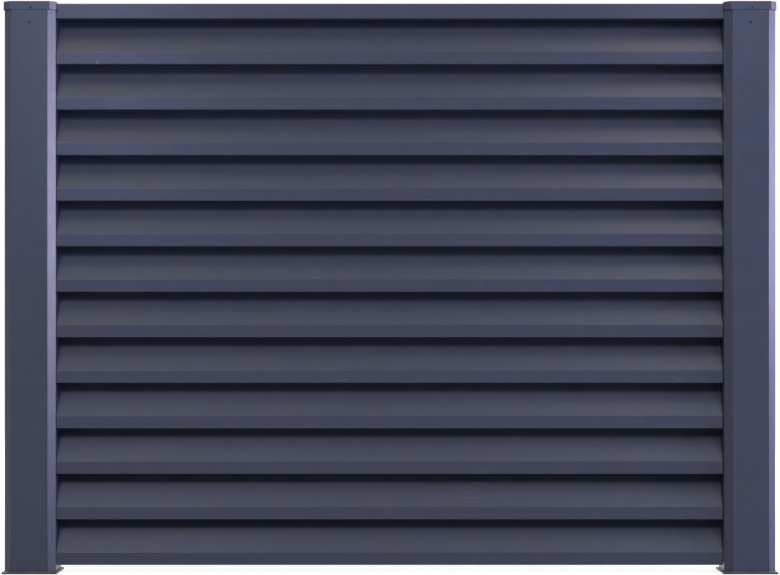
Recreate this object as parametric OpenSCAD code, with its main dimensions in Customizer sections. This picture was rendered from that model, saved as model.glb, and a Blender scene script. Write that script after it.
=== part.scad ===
// One bay of a louvred sheet-metal fence: two hollow posts on base plates, twelve
// folded slats that overlap like shingles, and a capping rail along the top. The
// slats' ends are fixed to an angle behind them on each post.
// X runs along the fence, -Y is the street side and Z is up. The origin is the
// centre of the left base plate's underside.

/* [Bay] */
// Clear width between the two posts
bay_w = 1760; // [900:10:2600]
// Number of slats, one above the other
slat_count = 12; // [3:1:14]
// Gap between the base plates and the lowest slat
foot_gap = 16.5; // [5:0.5:60]

/* [Posts] */
// Width and depth of a post
post_w = 135; // [120:1:170]
// Flat cut across each corner of a post
post_chamfer = 20; // [8:1:26]
// Wall of the post tube
post_wall = 2; // [1.5:0.5:4]
// Height of the posts above the panel's top
post_rise = 2; // [2:0.5:60]

/* [Base plates] */
// Margin of a base plate all round the post
plate_margin = 5; // [3:1:60]
// Thickness of a base plate
plate_t = 5; // [3:1:12]

/* [Post caps] */
// Sheet of the cap
cap_t = 1.5; // [1:0.5:3]
// Height of the cap's skirt
cap_skirt = 22; // [10:1:40]
// How much smaller a cap's corner cuts are than the post's
cap_corner_step = 3.5; // [0:0.5:8]
// Clearance of the cap's skirt from the post and from the rail
cap_gap = 0.5; // [0.3:0.1:1]

/* [Slats] */
// Height that one slat adds to the panel
slat_pitch = 120; // [90:1:160]
// Height of the upright lip along a slat's front
lip_h = 33; // [20:1:45]
// Gap between the flange under a lip and the slope of the next slat down
return_gap = 9; // [4:1:40]
// Depth of the slope from the lip to the upright flange behind
slope_d = 66; // [45:1:74]
// Height by which the slope reaches up behind the next lip
slope_lap = 18; // [8:1:24]
// Sheet of a slat
slat_t = 1; // [0.8:0.1:2]
// Gap between a slat's left end and the post
slat_gap_left = 1; // [0.5:0.5:5]
// Gap between a slat's right end and the post
slat_gap_right = 3.5; // [0.5:0.5:8]
// Distance of the lips behind the front corner cuts of the posts
lip_setback = 3; // [0:0.5:10]

/* [Top rail] */
// Height of the rail's front face
rail_face_h = 40; // [32:1:60]
// Clearance between the top slat and the underside of the rail
rail_headroom = 5.5; // [2:0.5:8]
// Height of the rail's rear leg
rail_leg_h = 34; // [20:1:38]
// Sheet of the rail
rail_t = 1.5; // [1:0.5:3]
// Gap between each end of the rail and its post
rail_gap = 0.5; // [0.3:0.1:2]

/* [Rear angles] */
// Width of the leg that the slats are fixed to
angle_face_w = 30; // [20:1:45]
// Distance of the leg on the post from the post's rear corner cut
angle_margin = 2; // [0:1:8]
// Thickness of the angle
angle_t = 2; // [1.5:0.5:4]

/* [Hidden] */
// Inner radius and number of chords of each fold in the sheet
fold_r = 1.2;
fold_steps = 4;

post_pitch = bay_w + post_w;
plate_w = post_w + 2 * plate_margin;
cap_w = post_w + 2 * (cap_gap + cap_t);
cap_chamfer = post_chamfer - cap_corner_step;
panel_z = plate_t + foot_gap;
rail_z = panel_z + slat_count * slat_pitch;
panel_top_z = rail_z + rail_face_h;
post_top_z = panel_top_z + post_rise;

// Front face of the lips, and the plane where slats lie on the rear angles
lip_y = -post_w / 2 + post_chamfer + lip_setback;
angle_y = lip_y + slope_d;
// Rise of a whole slope, from the top of its lip to the upright flange
slope_h = slat_pitch - lip_h + slope_lap;
// The upright flange behind the top slat just fits under the rail
back_flange_h = rail_face_h - rail_t - rail_headroom - slope_lap;
// The flange under a lip ends short of the slope of the slat below
return_d = (slope_d - slat_t) * (slat_pitch - lip_h) / slope_h - return_gap;
// Depth of the rail, over the slats' rear flanges and the angles' front legs
rail_d = slope_d + angle_t + rail_t;
// Lower end of the rear angles, level with the underside of the lowest slat
angle_z = panel_z;
// The leg on the post covers the flat of its side
angle_side_w = post_w / 2 - post_chamfer - angle_margin - angle_y;
// Clearance of an angle's side leg under the rail's rear leg
angle_notch = 2;

SLATS = [for (i = [1:slat_count]) str("slat_", i < 10 ? "0" : "", i)];

steel_blue = [0.29, 0.31, 0.38];
steel_shade = [0.27, 0.28, 0.33];
plate_grey = [0.42, 0.41, 0.45];

// --- Folded sheet ---------------------------------------------------------

function unit(v) = v / norm(v);
function left_of(d) = [-d.y, d.x];
function turn(a, b) = atan2(a.x * b.y - a.y * b.x, a.x * b.x + a.y * b.y);
function spun(v, a) = [v.x * cos(a) - v.y * sin(a), v.x * sin(a) + v.y * cos(a)];

// Points round one fold of a sheet's centre line, moved sideways by off
function fold_points(before, at, after, off, r) =
    let (d0 = unit(at - before),
         a = turn(d0, unit(after - at)),
         side = sign(a),
         centre = at - d0 * r * tan(abs(a) / 2) + side * r * left_of(d0))
    [for (i = [0:fold_steps])
        centre - side * (r - side * off) * spun(left_of(d0), a * i / fold_steps)];

// One face of a folded sheet that follows the path
function sheet_face(path, off, r) =
    let (last = len(path) - 1)
    concat(
        [path[0] + off * left_of(unit(path[1] - path[0]))],
        [for (k = [1:last - 1]) each fold_points(path[k - 1], path[k], path[k + 1], off, r)],
        [path[last] + off * left_of(unit(path[last] - path[last - 1]))]);

function reversed(list) = [for (k = [len(list) - 1:-1:0]) list[k]];

// Closed outline of a sheet of thickness t along a centre line path
function sheet_outline(path, t) =
    concat(sheet_face(path, t / 2, fold_r + t / 2), reversed(sheet_face(path, -t / 2, fold_r + t / 2)));

// Runs a (Y, Z) outline along X from x0 to x1
module along_x(outline, x0, x1) {
    translate([x0, 0, 0])
        rotate([90, 0, 90])
            linear_extrude(x1 - x0)
                polygon(outline);
}

// --- Posts ----------------------------------------------------------------

// Square with its corners cut off
module cut_square(w, chamfer) {
    h = w / 2;
    c = h - chamfer;
    polygon([[c, -h], [h, -c], [h, c], [c, h], [-c, h], [-h, c], [-h, -c], [-c, -h]]);
}

// A chamfer cut deeper by a wall t keeps the same wall across the corner
function inner_chamfer(chamfer, t) = chamfer - t * (2 - sqrt(2));

module post(x) {
    color(steel_blue)
        translate([x, 0, plate_t])
            linear_extrude(post_top_z - plate_t)
                difference() {
                    cut_square(post_w, post_chamfer);
                    cut_square(post_w - 2 * post_wall, inner_chamfer(post_chamfer, post_wall));
                }
}

// Lid with a skirt, notched on the panel's side to clear the end of the rail.
// side is 1 at the left post and -1 at the right post.
module cap(x, side) {
    color(steel_blue)
        difference() {
            translate([x, 0, post_top_z + cap_t - cap_skirt])
                linear_extrude(cap_skirt)
                    cut_square(cap_w, cap_chamfer);
            translate([x, 0, post_top_z - cap_skirt])
                linear_extrude(cap_skirt)
                    cut_square(cap_w - 2 * cap_t, inner_chamfer(cap_chamfer, cap_t));
            translate([x + side * cap_w / 2, lip_y + rail_d / 2, panel_top_z + cap_gap - cap_skirt / 2])
                cube([4 * cap_t, rail_d + 2 * cap_gap, cap_skirt], center = true);
        }
}

module base_plate(x) {
    color(plate_grey)
        translate([x - plate_w / 2, -plate_w / 2, 0])
            cube([plate_w, plate_w, plate_t]);
}

// --- Panel ----------------------------------------------------------------

// A slat: flange under the lip, lip, slope up and back, upright flange behind
module slat(i) {
    y = lip_y + slat_t / 2;
    y_back = angle_y - slat_t / 2;
    z = panel_z + i * slat_pitch;
    path = [
        [lip_y + return_d, z + slat_t / 2],
        [y, z + slat_t / 2],
        [y, z + lip_h],
        [y_back, z + lip_h + slope_h],
        [y_back, z + lip_h + slope_h + back_flange_h]
    ];
    color(steel_shade)
        along_x(sheet_outline(path, slat_t), post_w / 2 + slat_gap_left, post_w / 2 + bay_w - slat_gap_right);
}

// The capping rail: flange under the front face, front face, top and rear leg
module top_rail() {
    y = lip_y + rail_t / 2;
    y_back = lip_y + rail_d - rail_t / 2;
    z_top = panel_top_z - rail_t / 2;
    path = [
        [lip_y + return_d, rail_z + rail_t / 2],
        [y, rail_z + rail_t / 2],
        [y, z_top],
        [y_back, z_top],
        [y_back, panel_top_z - rail_leg_h]
    ];
    color(steel_blue)
        along_x(sheet_outline(path, rail_t), post_w / 2 + rail_gap, post_w / 2 + bay_w - rail_gap);
}

// The angle that carries the slats: a leg behind them, up into the rail, and a
// leg against the post that stops short of the rail's rear leg.
// side is 1 at the left post and -1 at the right post.
module rear_angle(side) {
    x = side > 0 ? post_w / 2 : post_w / 2 + bay_w;
    face_top_z = panel_top_z - rail_t - fold_r;
    side_top_z = panel_top_z - rail_leg_h - angle_notch;
    color(steel_shade)
        translate([x, angle_y, angle_z]) {
            mirror([side > 0 ? 0 : 1, 0, 0]) {
                cube([angle_face_w, angle_t, face_top_z - angle_z]);
                cube([angle_t, angle_side_w, side_top_z - angle_z]);
            }
        }
}

post(0);  // post_left
post(post_pitch);  // post_right
cap(0, 1);  // cap_left
cap(post_pitch, -1);  // cap_right
base_plate(0);  // base_plate_left
base_plate(post_pitch);  // base_plate_right
top_rail();
rear_angle(1);  // rear_angle_left
rear_angle(-1);  // rear_angle_right
for (i = [0:slat_count - 1])
    slat(i);
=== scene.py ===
"""Looks of one bay of a louvred sheet-metal fence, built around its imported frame.

Every size that the frame knows is read from it. The classes below add what the
construction leaves out: rounded folds, weld beads, rivets, screws and finishes.
All lengths are in metres, +X runs along the fence and -Y is its street side.
"""

import logging
import math
from dataclasses import dataclass, field
from enum import Enum
from functools import cached_property
from typing import Any, Iterable, Sequence

import bmesh
import bpy
from bmesh.types import BMesh, BMVert
from bpy.types import Material, Node, NodeSocket, NodeTree, Object
from mathutils import Matrix, Vector


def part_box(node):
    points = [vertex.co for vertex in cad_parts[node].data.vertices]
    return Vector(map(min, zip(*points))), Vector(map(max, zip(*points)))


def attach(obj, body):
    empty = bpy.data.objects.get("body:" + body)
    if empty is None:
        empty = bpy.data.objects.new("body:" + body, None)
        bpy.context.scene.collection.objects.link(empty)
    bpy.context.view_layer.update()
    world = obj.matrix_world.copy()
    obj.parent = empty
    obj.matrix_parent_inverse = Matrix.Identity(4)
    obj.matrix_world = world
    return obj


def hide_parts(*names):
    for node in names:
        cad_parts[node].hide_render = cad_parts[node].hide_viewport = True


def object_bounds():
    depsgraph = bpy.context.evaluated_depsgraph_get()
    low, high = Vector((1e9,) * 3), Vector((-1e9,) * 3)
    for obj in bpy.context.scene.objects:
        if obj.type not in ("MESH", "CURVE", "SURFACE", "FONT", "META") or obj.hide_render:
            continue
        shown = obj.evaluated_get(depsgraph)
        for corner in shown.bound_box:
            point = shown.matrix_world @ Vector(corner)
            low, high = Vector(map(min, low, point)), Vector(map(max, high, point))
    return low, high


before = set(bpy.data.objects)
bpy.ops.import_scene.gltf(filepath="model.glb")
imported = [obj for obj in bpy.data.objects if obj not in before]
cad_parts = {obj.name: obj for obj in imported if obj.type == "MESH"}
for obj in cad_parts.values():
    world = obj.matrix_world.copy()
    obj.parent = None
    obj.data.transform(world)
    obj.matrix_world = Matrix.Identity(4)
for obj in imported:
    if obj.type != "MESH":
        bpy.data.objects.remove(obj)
CAD_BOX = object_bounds()

LOG = logging.getLogger("fence_bay")
BODY = "root"
MM = 0.001
# Faces narrower than these belong to a rounded edge and are shaded smooth
FOLD_FACE = 1.5 * MM
PLATE_FACE = 2 * MM
HEAD_FACE = 1.2 * MM
# Height of the lip along a slat's front
LIP = 33 * MM
# Edges and faces smaller than this are dropped
SLIVER = 0.001 * MM
# A cut corner turns by half of this at each of its two edges, in degrees
CUT_CORNER = 45

Point2 = tuple[float, float]
Point3 = tuple[float, float, float]
Colour = tuple[float, float, float]


class Side(Enum):
    """The two ends of the bay, with the direction from the post to the panel."""

    LEFT = 1
    RIGHT = -1

    @property
    def word(self) -> str:
        """Name of the side as the frame's nodes spell it."""
        return self.name.lower()

    def inner(self, low: Vector, high: Vector) -> float:
        """X of a box's end that faces the post on this side."""
        return low.x if self is Side.LEFT else high.x


class Slot(Enum):
    """Material slots of the record."""

    POST = "post_coat"
    CAP = "cap_coat"
    PLATE = "plate_coat"
    RAIL = "rail_coat"
    SLAT = "slat_coat"


class Run(Enum):
    """Direction in which faint streaks run over a coated face."""

    UPRIGHT = (90.0, 90.0, 2.5)
    ALONG = (2.0, 70.0, 70.0)


# --- Node trees -----------------------------------------------------------


class NodeSheet:
    """Lays out nodes in one tree and links them by plain calls."""

    def __init__(self, tree: NodeTree) -> None:
        """Starts on an empty tree.

        Args:
            tree: the node tree, which is cleared.
        """
        self.tree = tree
        tree.nodes.clear()

    @cached_property
    def where(self) -> NodeSocket:
        """The object's own coordinates."""
        return self.add("ShaderNodeTexCoord").outputs["Object"]

    def add(self, kind: str, feeds: dict[Any, Any] | None = None, **settings: Any) -> Node:
        """Adds a node, sets its properties and then feeds its inputs.

        Args:
            kind: Blender's name for the node's type.
            feeds: a source for each input, by name or number.
            settings: properties of the node.

        Returns:
            The new node.
        """
        node = self.tree.nodes.new(kind)
        for name, value in settings.items():
            setattr(node, name, value)
        for key, source in (feeds or {}).items():
            self.feed(node.inputs[key], source)
        return node

    def feed(self, socket: NodeSocket, source: Any) -> None:
        """Links or sets an input.

        Args:
            socket: the input.
            source: a node, for its first output, another output, or a plain value.
        """
        if isinstance(source, Node):
            source = source.outputs[0]
        if isinstance(source, NodeSocket):
            self.tree.links.new(source, socket)
        else:
            socket.default_value = source

    def maths(self, operation: str, *terms: Any) -> NodeSocket:
        """One sum, by Blender's name for it, on sockets or numbers."""
        return self.add("ShaderNodeMath", dict(enumerate(terms)), operation=operation).outputs[0]

    def vector(self, operation: str, *terms: Any, result: str = "Vector") -> NodeSocket:
        """One sum on vectors, with a vector or, for a length or product, a Value."""
        node = self.add("ShaderNodeVectorMath", dict(enumerate(terms)), operation=operation)
        return node.outputs[result]

    def scaled(self, vector: Any, factor: Any) -> NodeSocket:
        """A vector or colour times a number."""
        feeds = {"Vector": vector, "Scale": factor}
        return self.add("ShaderNodeVectorMath", feeds, operation="SCALE").outputs[0]

    def xyz(self, x: Any = 0.0, y: Any = 0.0, z: Any = 0.0) -> NodeSocket:
        """A vector put together from its three parts."""
        return self.add("ShaderNodeCombineXYZ", {"X": x, "Y": y, "Z": z}).outputs[0]

    def upward(self, vector: Any) -> NodeSocket:
        """The Z part of a vector."""
        return self.add("ShaderNodeSeparateXYZ", {0: vector}).outputs["Z"]

    def noise(self, scale: float, detail: float = 2.0, rough: float = 0.5,
              at: Any = None, seed: Any = None) -> NodeSocket:
        """Adds a noise texture.

        Args:
            scale: features to the metre.
            detail: number of finer layers.
            rough: strength of the finer layers.
            at: where it is read, if not at the object's coordinates.
            seed: a socket that picks one of many patterns.

        Returns:
            Its value, from 0 to 1.
        """
        feeds = {"Vector": self.where if at is None else at}
        feeds |= {"Scale": scale, "Detail": detail, "Roughness": rough}
        if seed is None:
            return self.add("ShaderNodeTexNoise", feeds).outputs[0]
        return self.add("ShaderNodeTexNoise", feeds | {"W": seed}, noise_dimensions="4D").outputs[0]

    def ramp(self, value: Any, span: Point2, low: Any = 0.0, high: Any = 1.0) -> NodeSocket:
        """Maps a value smoothly from one range to another, held at the ends.

        Args:
            value: a socket.
            span: the values that give low and high.
            low: result at and below the span.
            high: result at and above the span.

        Returns:
            The result's socket.
        """
        feeds = {"Value": value, "From Min": span[0], "From Max": span[1]}
        feeds |= {"To Min": low, "To Max": high}
        return self.add("ShaderNodeMapRange", feeds, interpolation_type="SMOOTHSTEP").outputs[0]

    def around(self, value: Any, span: Point2, middle: float, swing: float) -> NodeSocket:
        """Maps a value to a band either side of a middle."""
        return self.ramp(value, span, middle - swing, middle + swing)

    def blend(self, share: Any, first: Any, second: Any) -> NodeSocket:
        """Mixes two colours, with the given share of the second."""
        feeds = {"Factor": share, "A": first, "B": second}
        return self.add("ShaderNodeMix", feeds, data_type="RGBA").outputs["Result"]

    def mix(self, share: Any, first: Any, second: Any) -> Node:
        """Mixes two shaders, with the given share of the second."""
        return self.add("ShaderNodeMixShader", {0: share, 1: first, 2: second})


def rgba(colour: Colour) -> tuple[float, float, float, float]:
    """A colour with full alpha."""
    return (*colour, 1.0)


def start_material(name: str) -> Material:
    """Makes a material that is ready for nodes.

    Args:
        name: its name.

    Returns:
        The new material.
    """
    material = bpy.data.materials.new(name)
    material.use_nodes = True
    return material


# --- Finishes -------------------------------------------------------------


@dataclass(frozen=True)
class Scratch:
    """A short straight scratch down to the primer."""

    start: Point3
    end: Point3
    width: float

    def mask(self, sheet: NodeSheet) -> NodeSocket:
        """Where the scratch is.

        Args:
            sheet: the material's nodes.

        Returns:
            A value of 1 in the scratch and 0 away from it.
        """
        way = Vector(self.end) - Vector(self.start)
        offset = sheet.vector("SUBTRACT", sheet.where, self.start)
        aim = tuple(way / way.length_squared)
        share = sheet.ramp(sheet.vector("DOT_PRODUCT", offset, aim, result="Value"), (0.0, 1.0))
        beside = sheet.vector("SUBTRACT", offset, sheet.scaled(tuple(way), share))
        away = sheet.vector("LENGTH", beside, result="Value")
        return sheet.ramp(away, (0.5 * self.width, self.width), 1.0, 0.0)


@dataclass(frozen=True)
class PowderCoat:
    """Satin powder coat on steel sheet: fine grain, faint mottling, dusting and painted top light
    on what faces up.

    A scale is a number of features to the metre. A swing is the most that a tone is
    lighter or darker than its middle.
    """

    name: str
    cool: Colour
    warm: Colour
    run: Run
    rough: float = 0.31
    rough_swing: float = 0.02
    gloss: float = 0.25
    patch_scale: float = 9.0
    mottle: float = 0.06
    mottle_scale: float = 26.0
    streak: float = 0.03
    grain: float = 0.05
    grain_scale: float = 1100.0
    # Dusting on faces that point up, partly painted top light: a lighter, warmer tone there
    dust: float = 0.26
    dust_colour: Colour = (0.088, 0.087, 0.086)
    dust_scale: float = 14.0
    dust_rough: float = 0.5
    fold_pitch: float = 0.0
    fold_start: float = 0.0
    fold_swing: float = 0.03
    fold_line: Point2 = (0.012, 0.86)
    # Painted shade where an upright meets its plate: its height and darkest factor
    foot_height: float = 0.0
    foot_tone: float = 0.7
    scuffs: float = 0.25
    scuff_run: Point3 = (14.0, 500.0, 700.0)
    scuff_scale: float = 7.0
    peel_scale: float = 210.0
    fine_scale: float = 900.0
    fine_share: float = 0.35
    relief: float = 0.1 * MM
    relief_strength: float = 0.25
    primer: Colour = (0.42, 0.42, 0.45)
    scratches: tuple[Scratch, ...] = ()

    def build(self) -> Material:
        """Makes the material.

        Returns:
            The finished material.
        """
        material = start_material(self.name)
        CoatNodes(material.node_tree, self).lay()
        return material


class CoatNodes(NodeSheet):
    """The nodes of one powder coat."""

    def __init__(self, tree: NodeTree, coat: PowderCoat) -> None:
        """Starts on an empty tree.

        Args:
            tree: the material's node tree.
            coat: what the coat looks like.
        """
        super().__init__(tree)
        self.coat = coat

    def lay(self) -> None:
        """Lays out the whole material."""
        # Faces that point up are lightened and warmed: partly a dusting, partly painted top light
        coat, dust_and_light_share = self.coat, self._dust()
        colour = self.blend(dust_and_light_share, self._tone(), rgba(coat.dust_colour))
        colour = self.blend(self._scuffs(), colour, rgba(coat.primer))
        for scratch in coat.scratches:
            colour = self.blend(scratch.mask(self), colour, rgba(coat.primer))
        shader = self.add("ShaderNodeBsdfPrincipled", {
            "Specular IOR Level": coat.gloss, "Base Color": colour,
            "Roughness": self._roughness(dust_and_light_share), "Normal": self._relief()})
        self.add("ShaderNodeOutputMaterial", {"Surface": shader})

    def _tone(self) -> NodeSocket:
        """Base colour: two close tones in soft patches, streaks and a fine speckle.

        Returns:
            The colour's socket.
        """
        coat, broad = self.coat, (0.3, 0.7)
        drift = self.ramp(self.noise(coat.patch_scale, 3.0, 0.6), broad)
        colour = self.blend(drift, rgba(coat.cool), rgba(coat.warm))
        cloud = self.noise(coat.mottle_scale, 4.0, 0.65)
        mottle = self.around(cloud, (0.25, 0.75), 1.0, coat.mottle)
        stretched = self.vector("MULTIPLY", self.where, coat.run.value)
        streak = self.around(self.noise(1.0, 3.0, 0.6, at=stretched), broad, 1.0, coat.streak)
        speckle = self.around(self.noise(coat.grain_scale, 1.0), broad, 1.0, coat.grain)
        value = self.maths("MULTIPLY", self.maths("MULTIPLY", mottle, streak), speckle)
        if coat.fold_pitch:
            value = self.maths("MULTIPLY", value, self._folds())
        # Painted shade at an upright's foot
        if coat.foot_height:
            value = self.maths("MULTIPLY", value, self._foot())
        return self.scaled(colour, value)

    def _folds(self) -> NodeSocket:
        """Each sheet's own slight tone, and a thin darker line along its upper fold.

        Returns:
            The factor's socket.
        """
        coat = self.coat
        rise = self.maths("SUBTRACT", self.upward(self.where), coat.fold_start)
        level = self.maths("DIVIDE", rise, coat.fold_pitch)
        lot = self.add("ShaderNodeTexWhiteNoise", {"W": self.maths("FLOOR", level)},
                       noise_dimensions="1D")
        tone = self.around(lot, (0.0, 1.0), 1.0, coat.fold_swing)
        width, darkest = coat.fold_line
        line = self.ramp(self.maths("FRACT", level), (0.0, width), darkest, 1.0)
        return self.maths("MULTIPLY", tone, line)

    def _foot(self) -> NodeSocket:
        """Painted shade that darkens the lowest centimetres of an upright, where it meets the
        plate.

        Returns:
            The factor's socket.
        """
        reach = self.coat.foot_height
        ragged = self.maths("MULTIPLY", self.noise(60.0, 3.0), 0.4 * reach)
        height = self.maths("ADD", self.upward(self.where), ragged)
        return self.ramp(height, (0.3 * reach, 1.2 * reach), self.coat.foot_tone, 1.0)

    def _scuffs(self) -> NodeSocket:
        """Hair-thin level scuffs, here and there.

        Returns:
            How much of the primer shows.
        """
        drawn_out = self.vector("MULTIPLY", self.where, self.coat.scuff_run)
        hair = self.ramp(self.noise(1.0, at=drawn_out), (0.66, 0.74))
        place = self.ramp(self.noise(self.coat.scuff_scale), (0.58, 0.72))
        return self.maths("MULTIPLY", self.maths("MULTIPLY", hair, place), self.coat.scuffs)

    def _dust(self) -> NodeSocket:
        """How much of the dusting and painted top light a face takes: none on upright faces, most
        on level ones.

        Returns:
            The share of the lighter, warmer colour of the dusting and painted top light.
        """
        normal = self.add("ShaderNodeNewGeometry").outputs["Normal"]
        facing_up = self.ramp(self.upward(normal), (0.1, 0.9))
        patches = self.ramp(self.noise(self.coat.dust_scale, 5.0, 0.6), (0.2, 0.8), 0.7, 1.0)
        return self.maths("MULTIPLY", self.maths("MULTIPLY", facing_up, patches), self.coat.dust)

    def _roughness(self, dust_and_light_share: NodeSocket) -> NodeSocket:
        """Satin, a little uneven, and duller where the dusting lies.

        Args:
            dust_and_light_share: the share of the dusting and painted top light.

        Returns:
            The roughness.
        """
        coat = self.coat
        uneven = self.around(self.noise(40.0, 4.0, 0.6), (0.2, 0.8), coat.rough, coat.rough_swing)
        return self.maths("ADD", uneven, self.maths("MULTIPLY", dust_and_light_share, coat.dust_rough))

    def _relief(self) -> Node:
        """Orange peel of a few millimetres under a finer grain.

        Returns:
            The bump's node.
        """
        coat = self.coat
        fine = self.maths("MULTIPLY", self.noise(coat.fine_scale, 1.0), coat.fine_share)
        height = self.maths("ADD", self.noise(coat.peel_scale), fine)
        feeds = {"Strength": coat.relief_strength, "Distance": coat.relief, "Height": height}
        return self.add("ShaderNodeBump", feeds)


@dataclass(frozen=True)
class BlackOxide:
    """Blackened steel of the screws, worn a little at random."""

    name: str
    colour: Colour = (0.006, 0.006, 0.008)
    worn: Colour = (0.03, 0.03, 0.034)
    metal: float = 0.2
    gloss: float = 0.2
    rough: Point2 = (0.5, 0.35)
    wear_scale: float = 420.0

    def build(self) -> Material:
        """Makes the material.

        Returns:
            The finished material.
        """
        material = start_material(self.name)
        sheet = NodeSheet(material.node_tree)
        wear = sheet.ramp(sheet.noise(self.wear_scale, 3.0, 0.6), (0.55, 0.75))
        shader = sheet.add("ShaderNodeBsdfPrincipled", {
            "Metallic": self.metal, "Specular IOR Level": self.gloss,
            "Base Color": sheet.blend(wear, rgba(self.colour), rgba(self.worn)),
            "Roughness": sheet.ramp(wear, (0.0, 1.0), *self.rough)})
        sheet.add("ShaderNodeOutputMaterial", {"Surface": shader})
        return material


# --- Shapes ---------------------------------------------------------------


def arc(centre: Point2, radius: float, start: float, end: float, steps: int) -> list[Point2]:
    """Points along an arc.

    Args:
        centre: its centre.
        radius: its radius.
        start: first angle, in degrees.
        end: last angle, in degrees.
        steps: number of chords.

    Returns:
        The points, both ends included.
    """
    turns = [math.radians(start + (end - start) * i / steps) for i in range(steps + 1)]
    return [(centre[0] + radius * math.cos(t), centre[1] + radius * math.sin(t)) for t in turns]


def folded_outline(path: Sequence[Point2], sheet: float, radius: float, steps: int) -> list[Point2]:
    """Closed outline of a folded sheet.

    Args:
        path: corners of the sheet's middle line.
        sheet: thickness of the sheet.
        radius: inner radius of the folds.
        steps: chords in each fold.

    Returns:
        The outline's points, once round.
    """
    corners = [Vector(p) for p in path]
    middle = radius + sheet / 2

    def beside(at: Vector, way: Vector, off: float) -> Vector:
        """A point to the left of a line that runs along way."""
        return at + off * Vector((-way.y, way.x)).normalized()

    def face(off: float) -> list[Vector]:
        """One face of the sheet, from the path's start to its end."""
        points = [beside(corners[0], corners[1] - corners[0], off)]
        for before, at, after in zip(corners, corners[1:], corners[2:]):
            way = (at - before).normalized()
            left = Vector((-way.y, way.x))
            angle = -way.angle_signed(after - at)
            side = math.copysign(1, angle)
            centre = at - way * middle * math.tan(abs(angle) / 2) + side * middle * left
            for i in range(steps + 1):
                spun = left.copy()
                spun.rotate(Matrix.Rotation(angle * i / steps, 2))
                points.append(centre - side * (middle - side * off) * spun)
        points.append(beside(corners[-1], corners[-1] - corners[-2], off))
        return points

    return [(p.x, p.y) for p in face(sheet / 2) + face(-sheet / 2)[::-1]]


def inner_cut(cut: float, wall: float) -> float:
    """Size of a corner cut further in by a wall that is as thick across the cut."""
    return cut - wall * (2 - math.sqrt(2))


def cut_square(width: float, chamfer: float, radius: float, steps: int = 4) -> list[Point2]:
    """Square with cut corners, and a small radius at each of its eight edges.

    Args:
        width: distance across the flats.
        chamfer: size of the corner cuts.
        radius: outer radius of the folds.
        steps: chords in each fold.

    Returns:
        The outline, anticlockwise.
    """
    half, share = width / 2, CUT_CORNER / 2
    reach = radius / math.cos(math.radians(share))
    points = []
    for start in range(0, 360, 90):
        turn = math.radians(start)
        edges = (((half, half - chamfer), share), ((half - chamfer, half), 90 - share))
        for corner, bisector in edges:
            aim = math.radians(bisector)
            centre = (corner[0] - reach * math.cos(aim), corner[1] - reach * math.sin(aim))
            for x, y in arc(centre, radius, bisector - share, bisector + share, steps):
                points.append((x * math.cos(turn) - y * math.sin(turn),
                               x * math.sin(turn) + y * math.cos(turn)))
    return points


def in_scene(name: str, data: Any) -> Object:
    """Puts a mesh, lamp or camera in the scene as an object at the origin.

    Args:
        name: the object's name.
        data: what it shows.

    Returns:
        The new object.
    """
    obj = bpy.data.objects.new(name, data)
    bpy.context.scene.collection.objects.link(obj)
    return obj


def write_outwards(shape: BMesh, mesh: bpy.types.Mesh) -> None:
    """Drops a shape's slivers, turns its faces outwards and writes it to a mesh.

    Args:
        shape: the shape, which is freed.
        mesh: the mesh that takes it.
    """
    bmesh.ops.dissolve_degenerate(shape, dist=SLIVER, edges=shape.edges)
    bmesh.ops.recalc_face_normals(shape, faces=shape.faces)
    shape.to_mesh(mesh)
    shape.free()


def mesh_object(name: str, shape: BMesh) -> Object:
    """Makes an object of a finished shape.

    Args:
        name: the object's name.
        shape: its shape, which is freed.

    Returns:
        The new object.
    """
    mesh = bpy.data.meshes.new(name)
    write_outwards(shape, mesh)
    return in_scene(name, mesh)


def line_object(name: str, points: Sequence[Vector], closed: bool) -> Object:
    """Makes an object of edges only, for a node tree to work on.

    Args:
        name: the object's name.
        points: the line's points.
        closed: whether the last joins the first.

    Returns:
        The new object.
    """
    count = len(points)
    edges = [(i, (i + 1) % count) for i in range(count if closed else count - 1)]
    mesh = bpy.data.meshes.new(name)
    mesh.from_pydata([tuple(p) for p in points], edges, [])
    return in_scene(name, mesh)


def loft(shape: BMesh, rings: Sequence[Sequence[Vector]],
         close: bool = False) -> list[list[BMVert]]:
    """Joins rings of equal length with a skin.

    Args:
        shape: the shape to add to.
        rings: the rings, in order.
        close: whether the last ring joins the first.

    Returns:
        The rings' vertices.
    """
    made = [[shape.verts.new(p) for p in ring] for ring in rings]
    pairs = list(zip(made, made[1:]))
    if close:
        pairs.append((made[-1], made[0]))
    for low, high in pairs:
        for i in range(len(low)):
            j = (i + 1) % len(low)
            shape.faces.new((low[i], low[j], high[j], high[i]))
    return made


def smooth_narrow(obj: Object, widest: float) -> None:
    """Shades narrow faces, such as folds and rounded edges, smooth and leaves flats flat.

    Args:
        obj: a mesh object.
        widest: shortest edge of a face that still counts as narrow.
    """
    mesh = obj.data
    for face in mesh.polygons:
        ends = [(mesh.vertices[a].co, mesh.vertices[b].co) for a, b in face.edge_keys]
        face.use_smooth = min((a - b).length for a, b in ends) < widest


def settle(obj: Object) -> Object:
    """Turns an object with modifiers into a plain mesh of the same name.

    Args:
        obj: the object.

    Returns:
        The same object, with its modifiers gone and its faces outwards.
    """
    bpy.context.view_layer.update()
    depsgraph = bpy.context.evaluated_depsgraph_get()
    mesh = bpy.data.meshes.new_from_object(
        obj.evaluated_get(depsgraph), preserve_all_data_layers=True, depsgraph=depsgraph)
    shape = bmesh.new()
    shape.from_mesh(mesh)
    write_outwards(shape, mesh)
    obj.modifiers.clear()
    old = obj.data
    obj.data = mesh
    bpy.data.meshes.remove(old)
    mesh.name = obj.name
    return obj


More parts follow.
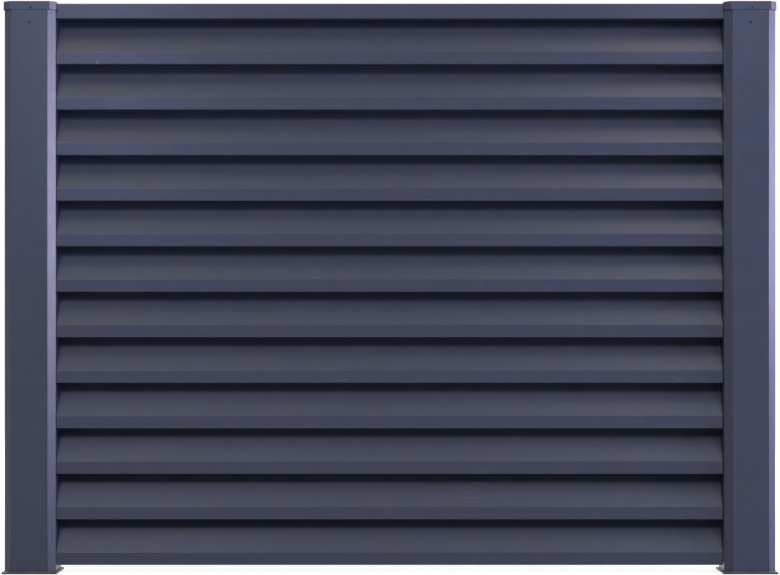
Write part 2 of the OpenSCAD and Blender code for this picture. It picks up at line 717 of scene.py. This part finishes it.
def cut_away(obj: Object, low: Vector, high: Vector) -> None:
    """Cuts a box out of a piece.

    Args:
        obj: the piece.
        low: the box's lowest corner.
        high: the box's highest corner.
    """
    box = bmesh.new()
    bmesh.ops.create_cube(box, size=1.0)
    place = Matrix.Translation((low + high) / 2) @ Matrix.Diagonal((*(high - low), 1))
    bmesh.ops.transform(box, verts=box.verts, matrix=place)
    cutter = mesh_object("cutter", box)
    cut = obj.modifiers.new("cut", "BOOLEAN")
    cut.operation = "DIFFERENCE"
    cut.solver = "EXACT"
    cut.object = cutter
    settle(obj)
    bpy.data.objects.remove(cutter)


def dress(obj: Object, material: Material) -> None:
    """Gives an object one material all over."""
    obj.data.materials.clear()
    obj.data.materials.append(material)


def coat_piece(obj: Object, material: Material, widest: float) -> None:
    """Smooths a piece's narrow faces and gives it its finish."""
    smooth_narrow(obj, widest)
    dress(obj, material)


def hand_over(obj: Object, slot: Slot, *nodes: str) -> None:
    """Puts a finished piece on the frame.

    Args:
        obj: the piece.
        slot: the record's slot for the piece's finish; not used.
        nodes: the construction's nodes that it stands for.
    """
    if nodes:
        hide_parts(*nodes)
    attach(obj, BODY)
    stands_for = ", ".join(nodes) or "nothing"
    LOG.info("%s: %d faces, stands for %s", obj.name, len(obj.data.polygons), stands_for)


# --- Geometry node trees --------------------------------------------------


class ShapeTree:
    """A geometry node tree with named inputs, run once for each object it makes."""

    def __init__(self, name: str, **inputs: str) -> None:
        """Makes the tree's interface.

        Args:
            name: the tree's name.
            inputs: type of each input after the geometry, under its name with
                underscores for spaces.
        """
        self.tree = bpy.data.node_groups.new(name, "GeometryNodeTree")
        self.keys = {}
        for label, kind in (("Geometry", "Geometry"), *inputs.items()):
            made = self.tree.interface.new_socket(
                label.replace("_", " "), in_out="INPUT", socket_type=f"NodeSocket{kind}")
            self.keys[label] = made.identifier
        self.tree.interface.new_socket(
            "Geometry", in_out="OUTPUT", socket_type="NodeSocketGeometry")
        self.sheet = NodeSheet(self.tree)
        self.given = self.sheet.add("NodeGroupInput").outputs

    def end(self, geometry: Any) -> None:
        """Closes the tree: instances become real and take the material.

        Args:
            geometry: what the tree has made.
        """
        real = self.sheet.add("GeometryNodeRealizeInstances", {0: geometry})
        paint = self.sheet.add("GeometryNodeSetMaterial", {
            "Geometry": real, "Material": self.given["Material"]})
        self.sheet.add("NodeGroupOutput", {0: paint})

    def run(self, obj: Object, **values: Any) -> Object:
        """Runs the tree on an object and keeps the result as its mesh.

        Args:
            obj: the object that the tree works on.
            values: the inputs, with underscores for the spaces in their names.

        Returns:
            The same object.
        """
        modifier = obj.modifiers.new(self.tree.name, "NODES")
        modifier.node_group = self.tree
        for label, value in values.items():
            modifier[self.keys[label]] = value
        return settle(obj)


def sheet_run_tree() -> ShapeTree:
    """Folded sheets: an outline swept along X, stacked, and given a slight wave.

    Returns:
        The tree. Its object holds the outline, in the plane that the sweep maps to Y and Z.
    """
    made = ShapeTree("folded_sheets", Count="Int", Pitch="Float", Start="Float", Length="Float",
                     Segments="Int", Wave="Float", Fold_Width="Float", Seed="Float",
                     Material="Material")
    sheet, given = made.sheet, made.given
    outline = sheet.add("GeometryNodeMeshToCurve", {0: given["Geometry"]})
    line = sheet.add("GeometryNodeCurvePrimitiveLine", {
        "Start": sheet.xyz(x=given["Start"]),
        "End": sheet.xyz(x=sheet.maths("ADD", given["Start"], given["Length"]))})
    steps = sheet.add("GeometryNodeResampleCurve", {"Curve": line, "Count": given["Segments"]})
    sweep = sheet.add("GeometryNodeCurveToMesh", {
        "Curve": steps, "Profile Curve": outline, "Fill Caps": True})
    rows = sheet.add("GeometryNodeMeshLine", {
        "Count": given["Count"], "Offset": sheet.xyz(z=given["Pitch"])},
        mode="OFFSET", count_mode="TOTAL")
    stack = sheet.add("GeometryNodeInstanceOnPoints", {"Points": rows, "Instance": sweep})
    real = sheet.add("GeometryNodeRealizeInstances", {0: stack})

    place = sheet.vector("MULTIPLY", sheet.add("GeometryNodeInputPosition"), (2.2, 6.0, 6.0))
    swell = sheet.maths("SUBTRACT", sheet.noise(1.0, 1.0, at=place, seed=given["Seed"]), 0.5)
    shove = sheet.xyz(y=sheet.maths("MULTIPLY", swell, given["Wave"]))
    move = sheet.add("GeometryNodeSetPosition", {"Geometry": real, "Offset": shove})

    strip = sheet.maths("MULTIPLY", given["Length"], given["Fold Width"])
    narrow = sheet.maths("LESS_THAN", sheet.add("GeometryNodeInputMeshFaceArea"),
                         sheet.maths("DIVIDE", strip, given["Segments"]))
    made.end(sheet.add("GeometryNodeSetShadeSmooth", {
        "Geometry": move, "Shade Smooth": narrow}, domain="FACE"))
    return made


def fastener_tree() -> ShapeTree:
    """Fasteners: one head set on every point, turned to the point's facing and spun at random.

    Returns:
        The tree. Its object's points carry a vector attribute named facing.
    """
    made = ShapeTree("fasteners", Head="Object", Seed="Int", Material="Material")
    sheet, given = made.sheet, made.given
    points = sheet.add("GeometryNodeMeshToPoints", {"Mesh": given["Geometry"]})
    facing = sheet.add("GeometryNodeInputNamedAttribute", {"Name": "facing"},
                       data_type="FLOAT_VECTOR")
    spin = sheet.add("FunctionNodeRandomValue", {"Max": math.tau, "Seed": given["Seed"]},
                     data_type="FLOAT")
    turn = sheet.add("FunctionNodeEulerToRotation", {0: sheet.xyz(z=spin.outputs["Value"])})
    align = sheet.add("FunctionNodeAlignRotationToVector", {
        "Rotation": turn, "Vector": facing}, axis="Z")
    head = sheet.add("GeometryNodeObjectInfo", {"Object": given["Head"]},
                     transform_space="ORIGINAL")
    made.end(sheet.add("GeometryNodeInstanceOnPoints", {
        "Points": points, "Instance": head.outputs["Geometry"], "Rotation": align}))
    return made


def weld_tree() -> ShapeTree:
    """Weld beads: a rippled round bead along a closed line.

    Returns:
        The tree. Its object holds the line.
    """
    made = ShapeTree("weld_bead", Step="Float", Radius="Float", Ripple="Float",
                     Ripple_Pitch="Float", Seed="Float", Material="Material")
    sheet, given = made.sheet, made.given
    line = sheet.add("GeometryNodeMeshToCurve", {0: given["Geometry"]})
    steps = sheet.add("GeometryNodeResampleCurve", {
        "Curve": line, "Length": given["Step"]}, mode="LENGTH")
    along = sheet.add("GeometryNodeSplineParameter").outputs["Length"]
    phase = sheet.maths("DIVIDE", sheet.maths("MULTIPLY", along, math.tau), given["Ripple Pitch"])
    wobble = sheet.noise(60.0, at=sheet.add("GeometryNodeInputPosition"), seed=given["Seed"])
    crest = sheet.maths("ADD", sheet.maths("SINE", phase), wobble)
    size = sheet.maths("ADD", given["Radius"], sheet.maths("MULTIPLY", crest, given["Ripple"]))
    ring = sheet.add("GeometryNodeCurvePrimitiveCircle", {"Resolution": 10, "Radius": 1.0})
    made.end(sheet.add("GeometryNodeCurveToMesh", {
        "Curve": steps, "Profile Curve": ring, "Scale": size}))
    return made


# --- The bay's parts ------------------------------------------------------


def slat_rows() -> tuple[Vector, float]:
    """The lowest slat's lowest corner, and the height from each slat to the next."""
    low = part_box("slat_01")[0]
    return low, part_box("slat_02")[0].z - low.z


@dataclass
class Palette:
    """The bay's finishes, built once."""

    cool: Colour = (0.030, 0.0396, 0.075)
    warm: Colour = (0.0335, 0.0396, 0.0705)
    plate_cool: Colour = (0.040, 0.040, 0.060)
    plate_warm: Colour = (0.050, 0.046, 0.060)
    materials: dict[str, Material] = field(default_factory=dict)

    def build(self) -> None:
        """Makes every material."""
        low, pitch = slat_rows()
        tones = (self.cool, self.warm)
        finishes = [
            # The posts get painted shade at their foot
            PowderCoat("post_coat", *tones, Run.UPRIGHT, foot_height=20 * MM, scuffs=0.1),
            PowderCoat("cap_coat", *tones, Run.ALONG),
            PowderCoat("rail_coat", *tones, Run.ALONG),
            PowderCoat("slat_coat", *tones, Run.ALONG, fold_pitch=pitch, fold_start=low.z + LIP,
                       scratches=self._scratches()),
            PowderCoat("plate_coat", self.plate_cool, self.plate_warm, Run.ALONG,
                       rough=0.36, mottle=0.2),
            BlackOxide("black_screws"),
        ]
        for finish in finishes:
            self.materials[finish.name] = finish.build()
            LOG.info("finish %s ready", finish.name)

    def _scratches(self) -> tuple[Scratch, ...]:
        """Two short scratches that meet at the lower edge of the top slat's lip.

        Returns:
            The scratches.
        """
        low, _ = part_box("slat_12")
        corner = (low.x + 108 * MM, low.y, low.z + 1.5 * MM)
        upper = (corner[0] - 1 * MM, low.y, low.z + 8 * MM)
        beside = (corner[0] + 11 * MM, low.y, low.z + 1.2 * MM)
        return Scratch(corner, upper, 0.9 * MM), Scratch(corner, beside, 0.6 * MM)

    def __getitem__(self, name: str) -> Material:
        """The material of that name."""
        return self.materials[name]


@dataclass
class Post:
    """One hollow post with its cap, base plate and weld."""

    side: Side
    palette: Palette
    weld: ShapeTree
    chamfer: float = 20 * MM
    wall: float = 2 * MM
    fold: float = 2.2 * MM
    cap_chamfer: float = 16.5 * MM
    cap_sheet: float = 1.5 * MM
    cap_gap: float = 0.5 * MM
    cap_edge: float = 1.0 * MM
    edge_steps: int = 5
    plate_corner: float = 4 * MM
    plate_edge: float = 0.7 * MM
    weld_radius: float = 2.4 * MM
    weld_step: float = 1.0 * MM
    weld_ripple: float = 0.25 * MM
    weld_pitch: float = 4.2 * MM

    def __post_init__(self) -> None:
        """Reads the post's place from the frame."""
        self.low, self.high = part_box(f"post_{self.side.word}")
        self.cap_low, self.cap_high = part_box(f"cap_{self.side.word}")
        self.plate_low, self.plate_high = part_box(f"base_plate_{self.side.word}")
        self.centre = (self.low + self.high) / 2
        self.width = self.high.x - self.low.x

    def ring(self, outline: Iterable[Point2], z: float) -> list[Vector]:
        """An outline lifted to a height round the post's axis."""
        return [Vector((self.centre.x + x, self.centre.y + y, z)) for x, y in outline]

    def build(self) -> None:
        """Makes the post, cap, plate and weld."""
        self._tube()
        self._cap()
        self._plate()
        self._weld()

    def _tube(self) -> None:
        """The tube, with rounded folds at its eight edges."""
        outer = cut_square(self.width, self.chamfer, self.fold)
        inner = cut_square(self.width - 2 * self.wall, inner_cut(self.chamfer, self.wall),
                           self.fold / 2)
        bottom, top = self.low.z, self.high.z
        walls = ((outer, bottom), (outer, top), (inner, top), (inner, bottom))
        shape = bmesh.new()
        loft(shape, [self.ring(outline, z) for outline, z in walls], close=True)
        obj = mesh_object(f"post_tube_{self.side.word}", shape)
        coat_piece(obj, self.palette["post_coat"], FOLD_FACE)
        hand_over(obj, Slot.POST, f"post_{self.side.word}")

    def _cap(self) -> None:
        """The cap: lid with a rounded edge and a skirt notched over the rail."""
        width = self.cap_high.x - self.cap_low.x
        bottom, top = self.cap_low.z, self.cap_high.z
        rings = [self.ring(cut_square(width, self.cap_chamfer, self.fold), bottom)]
        for i in range(self.edge_steps + 1):
            angle = math.radians(90 * i / self.edge_steps)
            inset = self.cap_edge * (1 - math.cos(angle))
            shrunk = cut_square(width - 2 * inset, inner_cut(self.cap_chamfer, inset),
                                self.fold - inset / 2)
            rings.append(self.ring(shrunk, top - self.cap_edge * (1 - math.sin(angle))))
        inner = cut_square(width - 2 * self.cap_sheet, inner_cut(self.cap_chamfer, self.cap_sheet),
                           self.fold / 2)
        shape = bmesh.new()
        outside = loft(shape, rings)
        shape.faces.new(outside[-1])
        inside = loft(shape, [self.ring(inner, bottom), self.ring(inner, top - self.cap_sheet)])
        shape.faces.new(inside[-1])
        for i, corner in enumerate(outside[0]):
            j = (i + 1) % len(outside[0])
            shape.faces.new((corner, outside[0][j], inside[0][j], inside[0][i]))
        obj = mesh_object(f"post_cap_{self.side.word}", shape)
        self._notch(obj)
        coat_piece(obj, self.palette["cap_coat"], FOLD_FACE)
        hand_over(obj, Slot.CAP, f"cap_{self.side.word}")

    def _notch(self, cap: Object) -> None:
        """Cuts the cap's skirt where the rail's end comes under it.

        Args:
            cap: the cap.
        """
        rail_low, rail_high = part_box("top_rail")
        edge = self.side.inner(self.cap_high, self.cap_low)
        reach = 2 * self.cap_sheet
        low = Vector((edge - reach, rail_low.y - self.cap_gap, self.cap_low.z - reach))
        high = Vector((edge + reach, rail_high.y + self.cap_gap, rail_high.z + self.cap_gap))
        cut_away(cap, low, high)

    def _plate(self) -> None:
        """The base plate, with slightly rounded corners and a dulled upper edge."""
        low, high = self.plate_low, self.plate_high
        rings = []
        for z, inset in ((low.z, 0.0), (high.z - self.plate_edge, 0.0), (high.z, self.plate_edge)):
            radius = self.plate_corner - inset
            hub = ((high.x - low.x) / 2 - inset - radius) * math.sqrt(2)
            outline = []
            for start in range(0, 360, 90):
                angle = math.radians(start + 45)
                centre = (hub * math.cos(angle), hub * math.sin(angle))
                outline += arc(centre, radius, start, start + 90, self.edge_steps)
            rings.append(self.ring(outline, z))
        shape = bmesh.new()
        made = loft(shape, rings)
        shape.faces.new(made[0])
        shape.faces.new(made[-1])
        obj = mesh_object(f"foot_plate_{self.side.word}", shape)
        coat_piece(obj, self.palette["plate_coat"], PLATE_FACE)
        hand_over(obj, Slot.PLATE, f"base_plate_{self.side.word}")

    def _weld(self) -> None:
        """The bead between the post's foot and the plate."""
        line = self.ring(cut_square(self.width, self.chamfer, self.fold), self.low.z)
        obj = line_object(f"foot_weld_{self.side.word}", line, closed=True)
        self.weld.run(obj, Step=self.weld_step, Radius=self.weld_radius,
                      Ripple=self.weld_ripple, Ripple_Pitch=self.weld_pitch,
                      Seed=float(self.side.value), Material=self.palette["plate_coat"])
        for face in obj.data.polygons:
            face.use_smooth = True
        hand_over(obj, Slot.PLATE)


@dataclass
class Panel:
    """The slats, the top rail and the angles behind them."""

    palette: Palette
    sheets: ShapeTree
    back_flange: float = 15 * MM
    return_flange: float = 44.86 * MM
    slat_sheet: float = 1.0 * MM
    rail_sheet: float = 1.5 * MM
    rail_leg: float = 34 * MM
    fold: float = 1.2 * MM
    fold_steps: int = 5
    fold_width: float = 2 * MM
    segments: int = 48
    wave: float = 0.9 * MM
    slat_seed: float = 3.0
    rail_seed: float = 8.0
    angle_sheet: float = 2 * MM
    angle_step: float = 33.3 * MM

    def __post_init__(self) -> None:
        """Reads the slats' places from the frame."""
        self.names = sorted(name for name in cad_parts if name.startswith("slat_"))
        self.low, self.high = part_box(self.names[0])
        self.pitch = slat_rows()[1]

    def build(self) -> None:
        """Makes the slats, rail and angles."""
        self._slats()
        self._rail()
        for side in Side:
            self._angle(side)

    def _folded(self, name: str, path: Sequence[Point2], sheet: float,
                low: Vector, high: Vector, **values: Any) -> Object:
        """Sweeps the outline of a folded sheet from one end of a box to the other.

        Args:
            name: the piece's name.
            path: corners of the sheet's middle line, in Y and Z.
            sheet: thickness of the sheet.
            low: the box's lowest corner.
            high: the box's highest corner.
            values: the rest of the tree's inputs.

        Returns:
            The piece.
        """
        outline = folded_outline(path, sheet, self.fold, self.fold_steps)
        obj = line_object(name, [Vector((-y, -z, 0.0)) for y, z in outline], closed=True)
        return self.sheets.run(obj, Pitch=self.pitch, Start=low.x, Length=high.x - low.x,
                               Segments=self.segments, Fold_Width=self.fold_width, **values)

    def _slats(self) -> None:
        """All the slats, as one stack of folded sheets."""
        low, high, half = self.low, self.high, self.slat_sheet / 2
        front, back = low.y + half, high.y - half
        path = [
            (low.y + self.return_flange, low.z + half),
            (front, low.z + half),
            (front, low.z + LIP),
            (back, high.z - self.back_flange),
            (back, high.z),
        ]
        obj = self._folded("louvre_slats", path, self.slat_sheet, low, high,
                           Count=len(self.names), Wave=self.wave, Seed=self.slat_seed,
                           Material=self.palette["slat_coat"])
        hand_over(obj, Slot.SLAT, *self.names)

    def _rail(self) -> None:
        """The rail over the top slat, whose wave is a third of the slats'."""
        low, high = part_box("top_rail")
        half = self.rail_sheet / 2
        front, back, top = low.y + half, high.y - half, high.z - half
        path = [
            (low.y + self.return_flange, low.z + half),
            (front, low.z + half),
            (front, top),
            (back, top),
            (back, high.z - self.rail_leg),
        ]
        obj = self._folded("capping_rail", path, self.rail_sheet, low, high,
                           Count=1, Wave=self.wave / 3, Seed=self.rail_seed,
                           Material=self.palette["rail_coat"])
        hand_over(obj, Slot.RAIL, "top_rail")

    def _angle(self, side: Side) -> None:
        """The folded angle that carries the slats' ends.

        Args:
            side: the end of the bay.
        """
        low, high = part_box(f"rear_angle_{side.word}")
        half = self.angle_sheet / 2
        far = side.inner(high, low)
        corner = side.inner(low, high) + side.value * half
        path = [(far, low.y + half), (corner, low.y + half), (corner, high.y)]
        outline = folded_outline(path, self.angle_sheet, self.fold, self.fold_steps)
        shape = bmesh.new()
        ends = loft(shape, [[Vector((x, y, z)) for x, y in outline] for z in (low.z, high.z)])
        for ring in ends:
            shape.faces.new(ring)
        obj = mesh_object(f"end_angle_{side.word}", shape)
        cut_away(obj, Vector((low.x - half, low.y + self.angle_sheet, high.z - self.angle_step)),
                 high + Vector((half, half, half)))
        coat_piece(obj, self.palette["rail_coat"], FOLD_FACE)
        hand_over(obj, Slot.RAIL, f"rear_angle_{side.word}")


@dataclass(frozen=True)
class Head:
    """Shape of a fastener's head, turned about Z and standing on the surface."""

    name: str
    radius: float
    height: float
    recess: float
    sunk: float = 0.3 * MM
    rim: float = 0.25
    dome_steps: int = 4
    around: int = 24

    def build(self) -> Object:
        """Makes one head.

        Returns:
            The head, with its foot just under the origin.
        """
        rings = [self._circle(self.radius, -self.sunk)]
        for i in range(self.dome_steps + 1):
            angle = math.radians(90 * i / self.dome_steps)
            radius = self.recess + (self.radius - self.recess) * math.cos(angle)
            rise = self.rim + (1 - self.rim) * math.sin(angle)
            rings.append(self._circle(radius, self.height * rise))
        rings.append(self._hexagon(0.92 * self.recess, 0.96 * self.height))
        rings.append(self._hexagon(0.88 * self.recess, 0.2 * self.height))
        shape = bmesh.new()
        made = loft(shape, rings)
        shape.faces.new(made[0])
        shape.faces.new(made[-1])
        return mesh_object(self.name, shape)

    def _circle(self, radius: float, z: float) -> list[Vector]:
        """A level ring of the head."""
        turns = [math.tau * i / self.around for i in range(self.around)]
        return [Vector((radius * math.cos(t), radius * math.sin(t), z)) for t in turns]

    def _hexagon(self, radius: float, z: float) -> list[Vector]:
        """A level ring of the six-sided recess, with as many points as a round one.

        Args:
            radius: distance from the middle to a corner.
            z: the ring's height.

        Returns:
            The ring.
        """
        half_side, points = math.pi / 6, []
        for point in self._circle(radius, z):
            angle = math.atan2(point.y, point.x) % math.tau
            part = (angle + half_side) % (2 * half_side) - half_side
            shrink = math.cos(half_side) / math.cos(part)
            points.append(Vector((point.x * shrink, point.y * shrink, z)))
        return points


@dataclass
class Fasteners:
    """Screws of the caps, posts and angles, and rivets of the slats."""

    palette: Palette
    tree: ShapeTree
    panel: Panel
    cap_screw_rise: float = 4.7 * MM
    cap_screw_shift: float = 4 * MM
    post_screw_drop: float = 55 * MM
    rivet_inset: float = 17 * MM
    rivet_drop: float = 7.5 * MM
    angle_screws: int = 5
    angle_screw_margin: float = 60 * MM
    angle_screw_drop: float = 93 * MM
    angle_screw_y: float = 35 * MM
    spin_seed: int = 5

    def build(self) -> None:
        """Makes all fasteners."""
        screw = Head("screw_head", 2.7 * MM, 1.3 * MM, recess=1.4 * MM)
        rivet = Head("rivet_head", 4 * MM, 1.4 * MM, recess=1.0 * MM)
        bolt = Head("bolt_head", 4.5 * MM, 2.4 * MM, recess=2.2 * MM)
        black, coated = self.palette["black_screws"], self.palette["rail_coat"]
        for side in Side:
            word = side.word
            kinds = (
                (f"face_screws_{word}", screw, self._face_screws(side), black, Slot.CAP),
                (f"slat_rivets_{word}", rivet, self._rivets(side), coated, Slot.RAIL),
                (f"angle_bolts_{word}", bolt, self._angle_bolts(side), black, Slot.RAIL),
            )
            for name, head, places, material, slot in kinds:
                hand_over(self._set(name, head, places, material), slot)

    def _set(self, name: str, head: Head, places: list[tuple[Vector, Vector]],
             material: Material) -> Object:
        """Sets one kind of head on its places.

        Args:
            name: the piece's name.
            head: the kind of head.
            places: where each stands, and the way it faces.
            material: its finish.

        Returns:
            The piece.
        """
        obj = line_object(name, [place for place, _ in places], closed=False)
        facings = obj.data.attributes.new("facing", "FLOAT_VECTOR", "POINT")
        for item, (_, facing) in zip(facings.data, places):
            item.vector = facing
        sample = head.build()
        self.tree.run(obj, Head=sample, Seed=self.spin_seed, Material=material)
        bpy.data.objects.remove(sample)
        smooth_narrow(obj, HEAD_FACE)
        return obj

    def _face_screws(self, side: Side) -> list[tuple[Vector, Vector]]:
        """One screw in the cap's skirt and one in the post, front and back.

        Args:
            side: the end of the bay.

        Returns:
            Their places and facings.
        """
        low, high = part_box(f"cap_{side.word}")
        post_low, post_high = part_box(f"post_{side.word}")
        middle = (low.x + high.x) / 2
        cap_z, post_z = low.z + self.cap_screw_rise, high.z - self.post_screw_drop
        front, back = Vector((0, -1, 0)), Vector((0, 1, 0))
        return [
            (Vector((middle + self.cap_screw_shift, low.y, cap_z)), front),
            (Vector((middle - self.cap_screw_shift, high.y, cap_z)), back),
            (Vector((middle, post_low.y, post_z)), front),
            (Vector((middle, post_high.y, post_z)), back),
        ]

    def _rivets(self, side: Side) -> list[tuple[Vector, Vector]]:
        """A rivet at each slat's end, through its upright flange and the angle.

        Args:
            side: the end of the bay.

        Returns:
            Their places and facings. The top ones go through the rail's leg too.
        """
        low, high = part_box(f"rear_angle_{side.word}")
        x = side.inner(low, high) + side.value * self.rivet_inset
        names = self.panel.names
        surfaces = [low.y + self.panel.angle_sheet] * (len(names) - 1) + [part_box("top_rail")[1].y]
        return [(Vector((x, y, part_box(name)[1].z - self.rivet_drop)), Vector((0, 1, 0)))
                for name, y in zip(names, surfaces)]

    def _angle_bolts(self, side: Side) -> list[tuple[Vector, Vector]]:
        """Evenly spaced screws through the angle's side leg into the post.

        Args:
            side: the end of the bay.

        Returns:
            Their places and facings.
        """
        low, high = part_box(f"rear_angle_{side.word}")
        x = side.inner(low, high) + side.value * self.panel.angle_sheet
        bottom, top = low.z + self.angle_screw_margin, high.z - self.angle_screw_drop
        step = (top - bottom) / (self.angle_screws - 1)
        return [(Vector((x, self.angle_screw_y, bottom + step * i)), Vector((side.value, 0, 0)))
                for i in range(self.angle_screws)]


# --- Studio ---------------------------------------------------------------


@dataclass(frozen=True)
class Softbox:
    """A rectangular lamp that faces a point. Its X is measured from the bay's middle."""

    name: str
    at: Point3
    towards: Point3
    size: Point2
    power: float
    colour: Colour

    def build(self, middle: float) -> None:
        """Hangs the lamp.

        Args:
            middle: X of the bay's middle.
        """
        data = bpy.data.lights.new(self.name, "AREA")
        data.shape = "RECTANGLE"
        data.size, data.size_y = self.size
        data.energy = self.power
        data.color = self.colour
        obj = in_scene(self.name, data)
        obj.visible_camera = False
        aim = Vector(self.towards) - Vector(self.at)
        obj.location = Vector(self.at) + Vector((middle, 0.0, 0.0))
        obj.rotation_euler = aim.to_track_quat("-Z", "Y").to_euler()


# Front, near the posts, overhead, right and left walls, and behind
LAMPS = (
    Softbox("front_left", (-2.4, -7.3, 5.2), (0.0, 0.0, 0.8), (1.4, 1.6), 350.0, (1.0, 0.89, 0.69)),
    Softbox("front_right", (3.9, -5.0, 4.2), (0.0, 0.0, 0.8), (0.9, 2.4), 103.0, (0.77, 0.95, 1.0)),
    Softbox("near_post", (-0.9, -1.3, 1.5), (-0.9, 0.0, 1.1), (0.3, 1.0), 4.0, (0.41, 0.55, 1.0)),
    Softbox("near_right_post", (0.95, -1.2, 1.75), (0.95, 0.0, 1.3), (0.3, 0.6), 1.9,
            (0.6, 0.72, 1.0)),
    Softbox("overhead", (1.1, -1.3, 3.2), (0.6, 0.0, 1.0), (1.2, 0.7), 3.4, (0.45, 0.65, 1.0)),
    Softbox("overhead_right", (1.25, -0.65, 3.3), (1.15, -0.2, 1.0), (1.0, 1.3), 15.5,
            (1.0, 0.78, 0.70)),
    Softbox("overhead_left", (-1.25, -0.65, 3.3), (-1.15, -0.2, 1.0), (1.0, 1.3), 8.2,
            (1.0, 0.92, 0.58)),
    Softbox("right_wall", (7.0, -1.35, 1.54), (0.5, -1.0, 1.3), (3.2, 1.75), 600.0,
            (0.76, 0.71, 1.0)),
    Softbox("right_strip", (5.0, 0.62, 1.25), (1.0, -0.05, 0.9), (1.2, 1.2), 42.0,
            (0.72, 0.62, 1.0)),
    Softbox("left_wall", (-6.0, -1.6, 1.8), (-0.5, -0.2, 0.9), (2.4, 1.9), 12.0, (0.6, 0.5, 1.0)),
    Softbox("back_left", (-3.4, 5.6, 4.0), (-0.2, 0.0, 0.7), (2.4, 2.4), 220.0, (1.0, 0.97, 0.92)),
    Softbox("back_right", (3.8, 4.6, 3.0), (0.2, 0.0, 0.7), (1.6, 2.4), 150.0, (0.92, 0.96, 1.0)),
)


@dataclass
class Studio:
    """Pale floor, white surroundings, soft lamps and the camera, round a box."""

    low: Vector
    high: Vector
    distance: float = 6.05
    eye_height: float = 0.64
    view_width: float = 2.0462
    view_middle: float = 0.7525
    sensor: float = 36.0
    floor_size: float = 40.0
    white: float = 1.0
    fill: float = 0.02
    fill_colour: Colour = (0.93, 0.96, 1.0)
    floor_colour: Colour = (0.65, 0.65, 0.66)
    floor_catch: Colour = (0.4, 0.4, 0.4)
    floor_glow: float = 0.80
    floor_fade: Point2 = (1.2, 4.0)

    @property
    def middle(self) -> float:
        """X of the bay's middle."""
        return (self.low.x + self.high.x) / 2

    def build(self) -> None:
        """Sets up the studio round the object."""
        self._camera()
        self._world()
        self._floor()
        for lamp in LAMPS:
            lamp.build(self.middle)

    def _camera(self) -> None:
        """A long lens square to the fence, raised onto the frame by its shift."""
        data = bpy.data.cameras.new("camera")
        data.sensor_width = self.sensor
        data.lens = self.sensor * self.distance / self.view_width
        data.shift_y = (self.view_middle - self.eye_height) / self.view_width
        obj = in_scene("camera", data)
        obj.location = (self.middle, self.low.y - self.distance, self.eye_height)
        obj.rotation_euler = (math.radians(90), 0.0, 0.0)
        bpy.context.scene.camera = obj

    def _world(self) -> None:
        """White where it is seen or mirrored, and a dimmer fill for the rest."""
        world = bpy.data.worlds.new("studio")
        world.use_nodes = True
        bpy.context.scene.world = world
        sheet = NodeSheet(world.node_tree)
        fill, white = (
            sheet.add("ShaderNodeBackground", {"Color": rgba(colour), "Strength": strength})
            for colour, strength in ((self.fill_colour, self.fill), ((1.0, 1.0, 1.0), self.white)))
        shown = sheet.mix(self._seen(sheet), fill, white)
        sheet.add("ShaderNodeOutputWorld", {"Surface": shown})

    def _seen(self, sheet: NodeSheet) -> NodeSocket:
        """1 for rays from the camera, mirrored rays and rays through glass.

        Args:
            sheet: the nodes to add to.

        Returns:
            The value's socket.
        """
        path = sheet.add("ShaderNodeLightPath").outputs
        either = sheet.maths("MAXIMUM", path["Is Camera Ray"], path["Is Glossy Ray"])
        return sheet.maths("MAXIMUM", either, path["Is Transmission Ray"])

    def _floor(self) -> None:
        """A pale floor that keeps a faint shadow and fades to white further off."""
        middle = (self.middle, 0.0, 0.0)
        shape = bmesh.new()
        bmesh.ops.create_grid(shape, x_segments=1, y_segments=1, size=self.floor_size / 2)
        bmesh.ops.translate(shape, verts=shape.verts, vec=middle)
        obj = mesh_object("studio_floor", shape)
        material = start_material("studio_floor")
        sheet = NodeSheet(material.node_tree)
        matt, catch = (sheet.add("ShaderNodeBsdfDiffuse", {"Color": rgba(colour)})
                       for colour in (self.floor_colour, self.floor_catch))
        away = sheet.vector("DISTANCE", sheet.where, middle, result="Value")
        glow = sheet.add("ShaderNodeEmission", {
            "Strength": sheet.ramp(away, self.floor_fade, self.floor_glow, self.white)})
        white = sheet.add("ShaderNodeAddShader", {0: catch, 1: glow})
        shown = sheet.mix(self._seen(sheet), matt, white)
        sheet.add("ShaderNodeOutputMaterial", {"Surface": shown})
        dress(obj, material)


def main() -> None:
    """Builds the bay, dresses it and sets up the studio."""
    logging.basicConfig(level=logging.INFO, format="%(name)s: %(message)s")
    palette = Palette()
    palette.build()
    panel = Panel(palette, sheet_run_tree())
    weld = weld_tree()
    for side in Side:
        Post(side, palette, weld).build()
    panel.build()
    Fasteners(palette, fastener_tree(), panel).build()
    Studio(*CAD_BOX).build()
    bpy.context.scene.view_settings.view_transform = "Standard"


if __name__ == "__main__":
    main()
